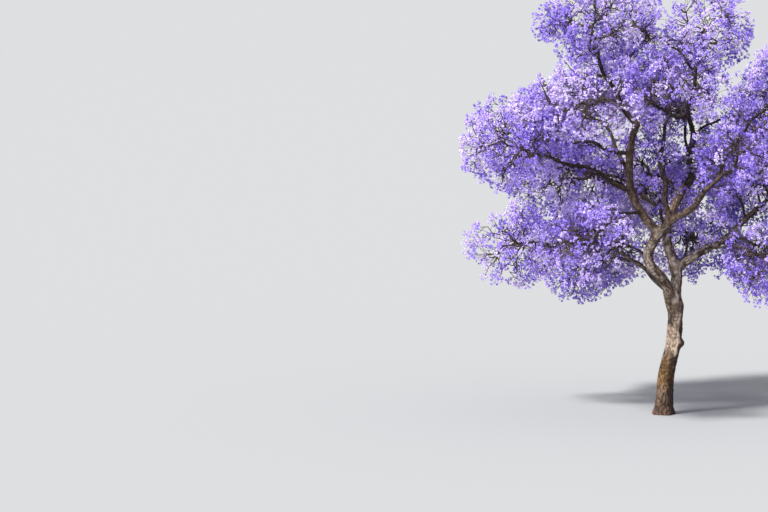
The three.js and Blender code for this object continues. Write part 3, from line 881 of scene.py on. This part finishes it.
def shoot_places(limb, number):
    """The roots of a limb's side twigs, their tips, and the limb's heading at each."""
    count = int(limb.length() * (1 - SHOOTS.start) / SHOOTS.step)
    t = SHOOTS.start + (1 - SHOOTS.start) * (np.arange(count) + 0.5) / max(count, 1)
    starts = limb.points(t)
    along = unit(limb.points(np.minimum(t + SHOOTS.heading, 1)) - limb.points(t - SHOOTS.heading))
    seeds = SHOOTS.seed + SHOOTS.seed_step * number + np.arange(count)
    across = ways_round(along, (2 * np.pi * spread(seeds, 0))[:, None])[:, 0]
    way = unit(across + SHOOTS.along * along + SHOOTS.rise * UP)
    reach = between(*SHOOTS.lengths, spread(seeds, 1))[:, None]
    tips = starts + way * (reach + limb.radius(t)[:, None])
    kept = (starts[:, 2] > SHOOTS.lowest) & (gap_to(wood, tips) > SHOOTS.gap)
    return starts[kept], tips[kept], along[kept]


def grow_shoots(limb, number, rng):
    """A limb's side twigs as tubes, coarse and fine, and the axes of their panicles."""
    starts, tips, along = shoot_places(limb, number)
    if not len(tips):
        return None
    paths = twig_paths(starts, along, tips, SECOND_TWIGS, rng)
    scatter = rng.uniform(-1, 1, (len(tips) * SHOOTS.tips, 3)) * SHOOTS.spread
    ends = np.repeat(tips, SHOOTS.tips, 0) + scatter
    finer = twigs_from(path_joints(paths, *TWIG_JOINTS.shoot), ends, THIRD_TWIGS, rng)
    middle = limb.points(0.5)
    shown = path_stretches(paths, SECOND_TWIGS)
    coarse, coarse_axes = flowering(paths, SECOND_TWIGS, middle, shown, rng)
    fine, fine_axes = flowering(finer, THIRD_TWIGS, middle, shown, rng)
    return coarse, fine, gathered([coarse_axes, fine_axes])


def branchlets(tips, ways, lengths, rng):
    """The panicles' side branches: their roots, ends and headings. The last one is the axis's own tip."""
    shares = np.array(BRANCHLETS.shares)
    angle = GOLDEN_ANGLE * np.arange(len(shares))[None] + rng.uniform(0, 2 * np.pi, (len(tips), 1))
    lean = BRANCHLETS.lean * (shares < 1) * rng.uniform(*BRANCHLETS.leans, angle.shape)
    across = ways_round(ways, angle)
    heading = ways[:, None] * np.cos(lean)[..., None] + across * np.sin(lean)[..., None]
    far = between(*BRANCHLETS.lengths, shares)
    roots = tips[:, None] + ways[:, None] * (lengths * shares)[..., None]
    return roots, roots + heading * (far * (shares < 1))[:, None], heading


def branchlet_mesh(roots, ends):
    """Each side branch as one slim face."""
    half = 0.5 * BRANCHLETS.thick * crossways(unit(ends - roots))[0]
    return alike(np.stack([roots - half, roots + half, ends], 1), [(0, 1, 2)])


def flower_places(ends, headings, rng):
    """For each flower at the side branches' ends: its foot, way, length, panicle, and if it is open."""
    shares = np.array(BRANCHLETS.shares)
    counts = FLOWER.open + FLOWER.bells
    branch = np.repeat(np.tile(np.arange(len(shares)), 2), counts)
    shape = (len(ends), len(branch))
    opened = np.broadcast_to(np.arange(len(branch)) < sum(FLOWER.open), shape)
    owner = np.broadcast_to(np.arange(len(ends))[:, None], shape)
    scatter = FLOWER.spread * rng.normal(0, 1, (*shape, 3))
    look = unit(headings[:, branch] + scatter - FLOWER.droop * UP)
    foot = ends[:, branch]
    size = between(*FLOWER.lengths, shares[branch]) * rng.uniform(*FLOWER.sizes, shape)
    inside = in_reach(foot + look * size[..., None], REACH.flowers)
    return [values[inside] for values in (foot, look, size, owner, opened)]


def flower_mesh(foot, look, size, rng, angles, mouth, fall, fan):
    """Flowers whose faces fan out from the foot to the points of the rim, at these angles round it."""
    angle = rng.uniform(0, 2 * np.pi, (len(foot), 1)) + angles
    reach = mouth * (size / FLOWER.lengths[0])[:, None, None]
    level = foot[:, None] + look[:, None] * ((1 - fall) * size)[:, None, None]
    return alike(np.concatenate([foot[:, None], level + ways_round(look, angle) * reach], 1), fan)


def open_flowers(*flowers):
    """Trumpets of lobes, each lobe one face with a notch on both sides of it."""
    lobe = even_angles(FLOWER.lobes)
    angles = np.stack([lobe - FLOWER.lobe, lobe + FLOWER.lobe], 1).ravel()
    fan = [(0, 1 + 2 * i, 2 + 2 * i) for i in range(FLOWER.lobes)]
    return flower_mesh(*flowers, angles, FLOWER.mouth, FLOWER.lobe_fall, fan)


def bells(*flowers):
    """Flowers that aren't open yet, as slim bells."""
    sides = FLOWER.bell_sides
    fan = [(0, 1 + i, 1 + (i + 1) % sides) for i in range(sides)]
    return flower_mesh(*flowers, even_angles(sides), FLOWER.bell_mouth, 0, fan)


# Materials. Colours are given as 0 to 255, and a ramp is a list of places with their colours.
BARK_RAMPS = {
    "plates": ((0.0, (50, 38, 32)), (0.45, (112, 93, 78)), (1.0, (178, 156, 137))),
    "ochre": ((0.0, (82, 60, 38)), (0.5, (140, 107, 68)), (1.0, (176, 144, 100))),
    # The pale patch's colours: flaked bark, partly painted sunlight.
    "pale": ((0.0, (104, 80, 62)), (0.4, (184, 154, 128)), (0.85, (248, 226, 202))),
    # The grey patch's colours: lichen, partly painted sunlight.
    "grey": ((0.0, (84, 72, 62)), (0.5, (154, 138, 124)), (1.0, (214, 199, 184))),
    "flecks": ((0.6, (0, 0, 0)), (0.66, (150, 150, 150))),
    "specks": ((0.35, (146, 138, 132)), (0.65, (255, 251, 246))),
}
# Two of these tints are painted shade: one on the trunk's right side, one on each limb's side away from the
# key light.
BARK_TINTS = {
    "flecks": (196, 184, 174), "foot": (162, 148, 140), "painted_shade_side": (172, 156, 142),
    "painted_shade": (158, 146, 142), "slim": (128, 118, 122),
}
BARK_LOOK = Values(
    specks=60.0, flecks=21.0, detail=4.0, speckled=0.8, slim=(0.04, 0.12),
    roughness=0.92, bump=0.6, bump_depth=0.01,
)
TWIG_LOOK = Values(
    scale=30.0, detail=2.0, ramp=((0.3, (44, 35, 36)), (0.7, (84, 68, 64))), roughness=0.9,
)
BLOSSOM_LOOK = Values(
    scale=25.0, detail=1.0, shades=((0.35, 0.93), (0.65, 1.05)), roughness=0.6, specular=0.3,
)
# The base colours of the blossom, dealt out by panicle.
TINTS = {
    "violet_deep": (138, 114, 214),
    "violet": (166, 142, 239),
    "lilac": (186, 164, 249),
    "lavender": (205, 185, 255),
    "lavender_pale": (220, 205, 255),
}


def linear(colour):
    """A colour of 0 to 255 as Blender's linear values."""
    share = np.array(colour) / 255
    return (*np.where(share <= 0.04045, share / 12.92, ((share + 0.055) / 1.055) ** 2.4), 1.0)


class Shader:
    """A node material that is built up by named calls."""

    def __init__(self, name):
        self.material = bpy.data.materials.new(name)
        self.material.use_nodes = True
        self.tree = self.material.node_tree
        self.skin = self.tree.nodes["Principled BSDF"]

    def node(self, kind, **settings):
        made = self.tree.nodes.new(kind)
        for key, value in settings.items():
            if key in made.inputs:
                self.feed(value, made.inputs[key])
            else:
                setattr(made, key, value)
        return made

    def feed(self, source, socket):
        """Links an output to a socket, or sets a plain value on it."""
        if isinstance(source, bpy.types.NodeSocket):
            self.tree.links.new(source, socket)
        else:
            socket.default_value = source

    def noise(self, place, scale, detail):
        return self.node("ShaderNodeTexNoise", Vector=place, Scale=scale, Detail=detail).outputs["Fac"]

    def object_noise(self, look):
        place = self.node("ShaderNodeTexCoord").outputs["Object"]
        return self.noise(place, look.scale, look.detail)

    def ramp(self, source, stops):
        made = self.node("ShaderNodeValToRGB", Fac=source)
        elements = made.color_ramp.elements
        while len(elements) < len(stops):
            elements.new(0.5)
        for element, (place, colour) in zip(elements, stops):
            element.position = place
            element.color = linear(colour)
        return made.outputs["Color"]

    def span(self, source, low, high):
        """A value's place between two others, from 0 to 1."""
        ends = {"From Min": low, "From Max": high}
        return self.node("ShaderNodeMapRange", Value=source, **ends).outputs["Result"]

    def mix(self, share, first, second, blend="MIX"):
        made = self.node("ShaderNodeMix", data_type="RGBA", blend_type=blend)
        for source, socket in ((share, made.inputs[0]), (first, made.inputs[6]), (second, made.inputs[7])):
            self.feed(source, socket)
        return made.outputs[2]

    def tinted(self, share, colour, tint):
        """A colour multiplied by this share of a tint."""
        return self.mix(share, colour, tint, "MULTIPLY")

    def finished(self, colour, roughness, specular=0.5):
        looks = {"Base Color": colour, "Roughness": roughness, "Specular IOR Level": specular}
        for name, value in looks.items():
            self.feed(value, self.skin.inputs[name])
        return self.material


def bark_material():
    """Plates over darker fissures, with flecks and patches, some partly painted sunlight, painted shade on
    one side, and darker on slim limbs.
    """
    shader = Shader("bark")
    on = {name: shader.node("ShaderNodeAttribute", attribute_name=name).outputs["Fac"]
          for name in ("relief", "girth", "painted_lit_side", *PATCHES)}
    grain = shader.node("ShaderNodeAttribute", attribute_name="grain").outputs["Vector"]
    specks = shader.noise(grain, BARK_LOOK.specks, BARK_LOOK.detail)
    flecks = shader.noise(grain, BARK_LOOK.flecks, BARK_LOOK.detail)
    height = shader.span(on["relief"], -1.0, 1.0)
    coat = {name: shader.ramp(height, BARK_RAMPS[name]) for name in ("plates", "ochre", "pale", "grey")}
    tint = {name: linear(colour) for name, colour in BARK_TINTS.items()}
    colour = shader.mix(shader.ramp(flecks, BARK_RAMPS["flecks"]), coat["plates"], tint["flecks"])
    colour = shader.mix(on["ochre"], colour, coat["ochre"])
    colour = shader.tinted(on["foot"], colour, tint["foot"])
    colour = shader.tinted(BARK_LOOK.speckled, colour, shader.ramp(specks, BARK_RAMPS["specks"]))
    # Painted shade on the trunk's right side, away from the key light.
    colour = shader.tinted(on["painted_shade_side"], colour, tint["painted_shade_side"])
    # Painted shade: the side of every limb away from the key light, and more of it high in the crown, takes a
    # darker copy of the colour.
    colour = shader.mix(on["painted_lit_side"], shader.tinted(1.0, colour, tint["painted_shade"]), colour)
    # Pale flaked bark, partly painted sunlight on the trunk's left front.
    colour = shader.mix(on["pale"], colour, coat["pale"])
    # Grey lichen on the stems, partly painted sunlight on their left front.
    colour = shader.mix(on["grey"], colour, coat["grey"])
    slim = shader.tinted(1.0, colour, tint["slim"])
    colour = shader.mix(shader.span(on["girth"], *BARK_LOOK.slim), slim, colour)
    bump = shader.node(
        "ShaderNodeBump", Height=specks, Strength=BARK_LOOK.bump, Distance=BARK_LOOK.bump_depth)
    shader.feed(bump.outputs["Normal"], shader.skin.inputs["Normal"])
    return shader.finished(colour, BARK_LOOK.roughness)


def twig_material():
    shader = Shader("twig_bark")
    colour = shader.ramp(shader.object_noise(TWIG_LOOK), TWIG_LOOK.ramp)
    return shader.finished(colour, TWIG_LOOK.roughness)


def blossom_material(name, colour):
    shader = Shader(name)
    stops = [(place, np.minimum(share * np.array(colour), 255)) for place, share in BLOSSOM_LOOK.shades]
    shade = shader.ramp(shader.object_noise(BLOSSOM_LOOK), stops)
    return shader.finished(shade, BLOSSOM_LOOK.roughness, BLOSSOM_LOOK.specular)


# The crown's pieces.
CROWN_SEED = 1871
TONE = Values(rate=0.9, fine_rate=2.6, fine=0.8, seed=7, scatter=0.4)


def grow_crown(rng):
    """The coarse and the fine twig tubes of all masses and limbs, and the axes of all panicles."""
    grown = [grow_mass(index, limb, rng) for index, limb in enumerate(bearers)]
    shoots = [grow_shoots(limb, number, rng) for number, limb in enumerate(limbs[1:])]
    coarse, fine, axes = zip(*grown, *(shoot for shoot in shoots if shoot))
    return list(coarse), list(fine), gathered(axes)


def dealt_out(tips, owner, rng):
    """The number of each flower's tint, which changes little between panicles near each other."""
    tone = noise_at_two_scales(tips, TONE) + rng.normal(0, TONE.scatter, len(tips))
    rank = tone[owner].argsort(kind="stable").argsort(kind="stable")
    return rank * len(TINTS) // len(rank)


def make_crown():
    """The joined twigs, and the flowers in pieces of one tint each."""
    rng = np.random.default_rng(CROWN_SEED)
    coarse, fine, (tips, ways, lengths) = grow_crown(rng)
    roots, ends, headings = branchlets(tips, ways, lengths, rng)
    slim = branchlet_mesh(roots[:, :-1].reshape(-1, 3), ends[:, :-1].reshape(-1, 3))
    material = twig_material()
    twigs = [
        mesh_object("twigs", *joined(coarse), [material]),
        mesh_object("fine_twigs", *joined(fine + [slim]), [material]),
    ]
    foot, look, size, owner, opened = flower_places(ends, headings, rng)
    tint = dealt_out(tips, owner, rng)
    blossoms = []
    for number, (name, colour) in enumerate(TINTS.items()):
        kinds = []
        for make, is_open in ((open_flowers, True), (bells, False)):
            own = (tint == number) & (opened == is_open)
            kinds.append(make(foot[own], look[own], size[own], rng))
        material = blossom_material(name, colour)
        blossoms.append(mesh_object(f"blossom_{name}", *joined(kinds), [material], False))
    return twigs, blossoms


bark = make_bark(bark_material())
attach(bark, "root")
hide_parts(*(limb.name for limb in limbs))

twigs, blossoms = make_crown()
masses = [f"blossom_{index + 1:02d}" for index in range(len(bearers))]
for piece in twigs:
    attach(piece, "root")
    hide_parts(*masses)
for piece in blossoms:
    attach(piece, "root")
    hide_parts(*masses)


# The stage: a plain pale floor, soft light, and a camera where the photograph was taken from.
BACKDROP = (0.73, 0.74, 0.755)
FLOOR = Values(reach=3000, drop=0.002, roughness=0.95)
LIGHT = Values(
    sun=6.8, softness=9, colour=(1.0, 0.965, 0.925), from_top=44, from_left=55,
    fill=(0.7, 0.695, 0.735),
)


def floor_colour():
    """The colour that makes the lit floor look like the backdrop."""
    facing = math.cos(math.radians(LIGHT.from_top)) / math.pi
    return tuple(seen / (LIGHT.sun * facing * key + fill)
                 for seen, key, fill in zip(BACKDROP, LIGHT.colour, LIGHT.fill))


def make_floor():
    reach, level = FLOOR.reach, -FLOOR.drop
    corners = np.array([(x * reach, y * reach, level) for x, y in ((-1, -1), (1, -1), (1, 1), (-1, 1))])
    material = Shader("floor").finished((*floor_colour(), 1), FLOOR.roughness, 0)
    floor = mesh_object("floor", corners, np.array([(0, 1, 2, 3)]), [material], False)


def make_backdrop():
    """A world that shows the camera the backdrop, and lights the object with the fill."""
    world = bpy.data.worlds.new("studio")
    world.use_nodes = True
    nodes, links = world.node_tree.nodes, world.node_tree.links
    backdrop = nodes["Background"]
    backdrop.inputs["Color"].default_value = (*BACKDROP, 1)
    fill = nodes.new("ShaderNodeBackground")
    fill.inputs["Color"].default_value = (*LIGHT.fill, 1)
    seen = nodes.new("ShaderNodeMixShader")
    links.new(nodes.new("ShaderNodeLightPath").outputs["Is Camera Ray"], seen.inputs[0])
    links.new(fill.outputs[0], seen.inputs[1])
    links.new(backdrop.outputs[0], seen.inputs[2])
    links.new(seen.outputs[0], nodes["World Output"].inputs["Surface"])
    bpy.context.scene.world = world


def make_key_light():
    sun = bpy.data.lights.new("key", "SUN")
    sun.energy = LIGHT.sun
    sun.angle = math.radians(LIGHT.softness)
    sun.color = LIGHT.colour
    key = in_scene("key", sun)
    key.rotation_euler = (math.radians(LIGHT.from_top), 0, math.radians(-LIGHT.from_left))


def make_camera():
    lens = bpy.data.cameras.new("camera")
    lens.lens = CAMERA.lens
    lens.sensor_width = CAMERA.sensor
    lens.clip_end = CAMERA.far
    camera = in_scene("camera", lens)
    camera.location = CAMERA.place
    camera.rotation_euler = (math.radians(90 - CAMERA.pitch), 0, 0)
    bpy.context.scene.camera = camera


make_floor()
make_backdrop()
make_key_light()
make_camera()
bpy.context.scene.view_settings.view_transform = "Standard"
